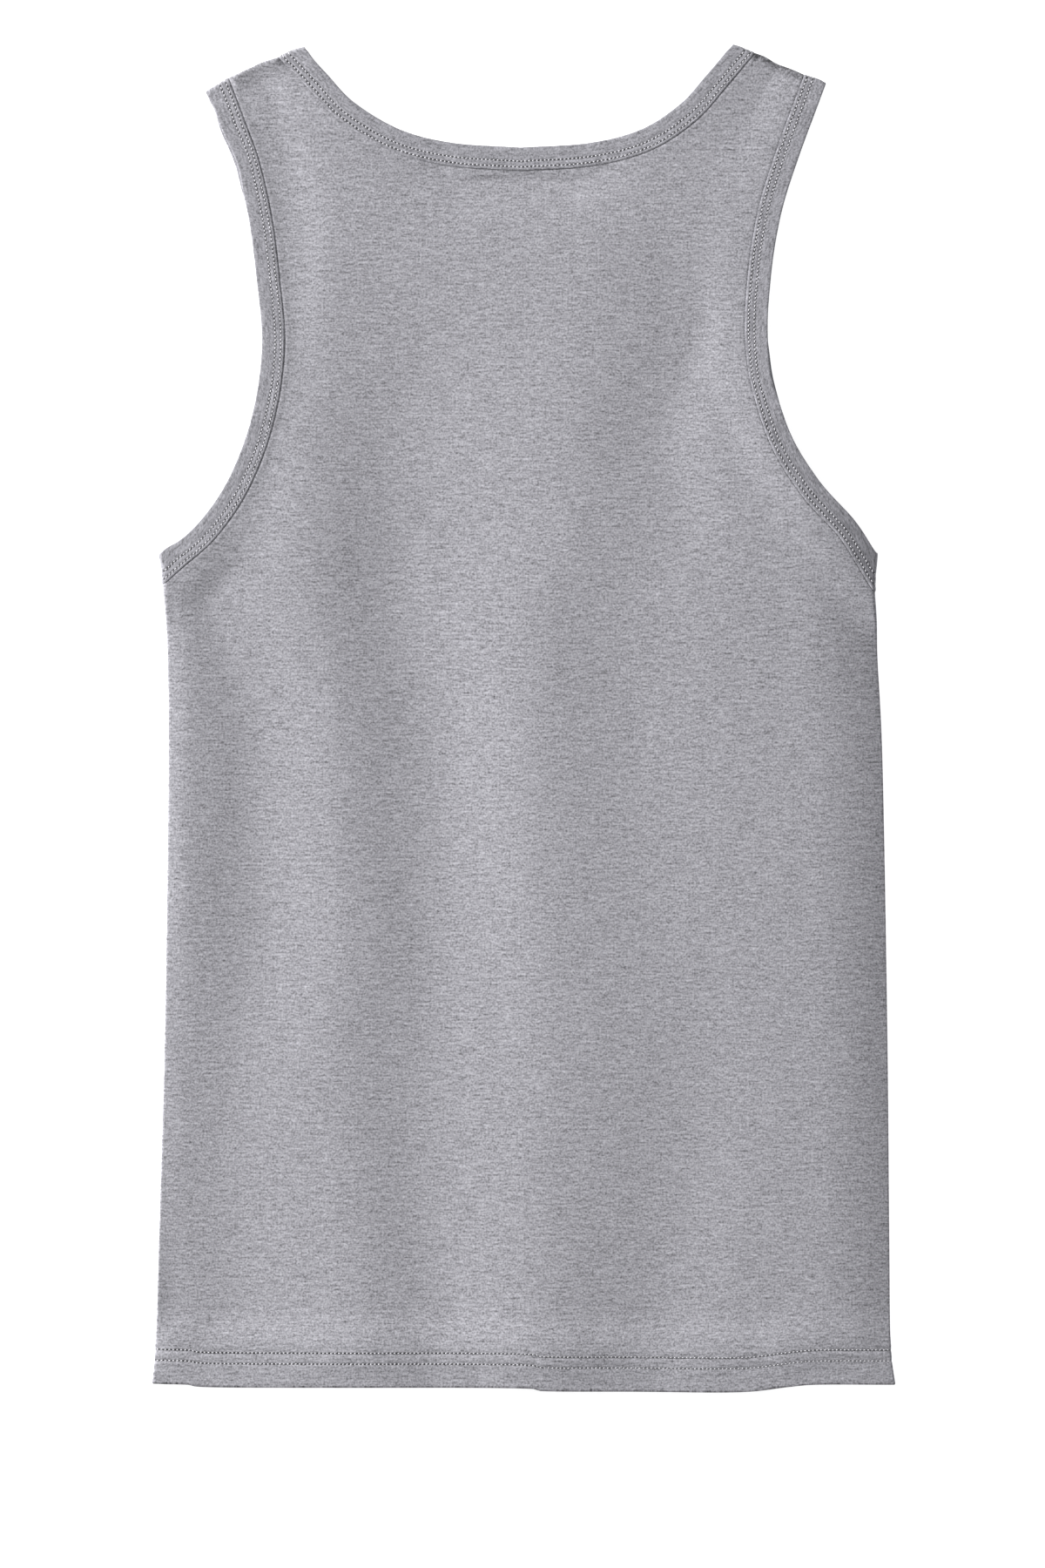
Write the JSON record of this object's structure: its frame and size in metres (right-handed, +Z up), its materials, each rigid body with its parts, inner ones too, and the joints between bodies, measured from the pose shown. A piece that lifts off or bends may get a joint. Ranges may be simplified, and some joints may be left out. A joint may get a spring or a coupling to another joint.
{
  "type": "tank top",
  "caption": "Sleeveless jersey tank top with scoop neck, bound neckline and armholes and a turned-up hem, laid flat with its back up.",
  "frame": {"origin": "bottom centre of the bounding box: on the table, under the middle of the garment", "axes": "+X to the right as seen from above, +Y from hem to shoulders, +Z up off the table"},
  "size_m": [0.4124, 0.7491, 0.0109],
  "materials": {
    "jersey": "matte heather-grey single jersey, fine flecks and short streaks",
    "binding": "matte heather-grey jersey strip, twin-needle stitched"
  },
  "bodies": {
    "root": {"back_panel": "jersey", "front_panel": "jersey", "neck_binding": "binding", "left_armhole_binding": "binding", "right_armhole_binding": "binding"}
  },
  "joints": []
}
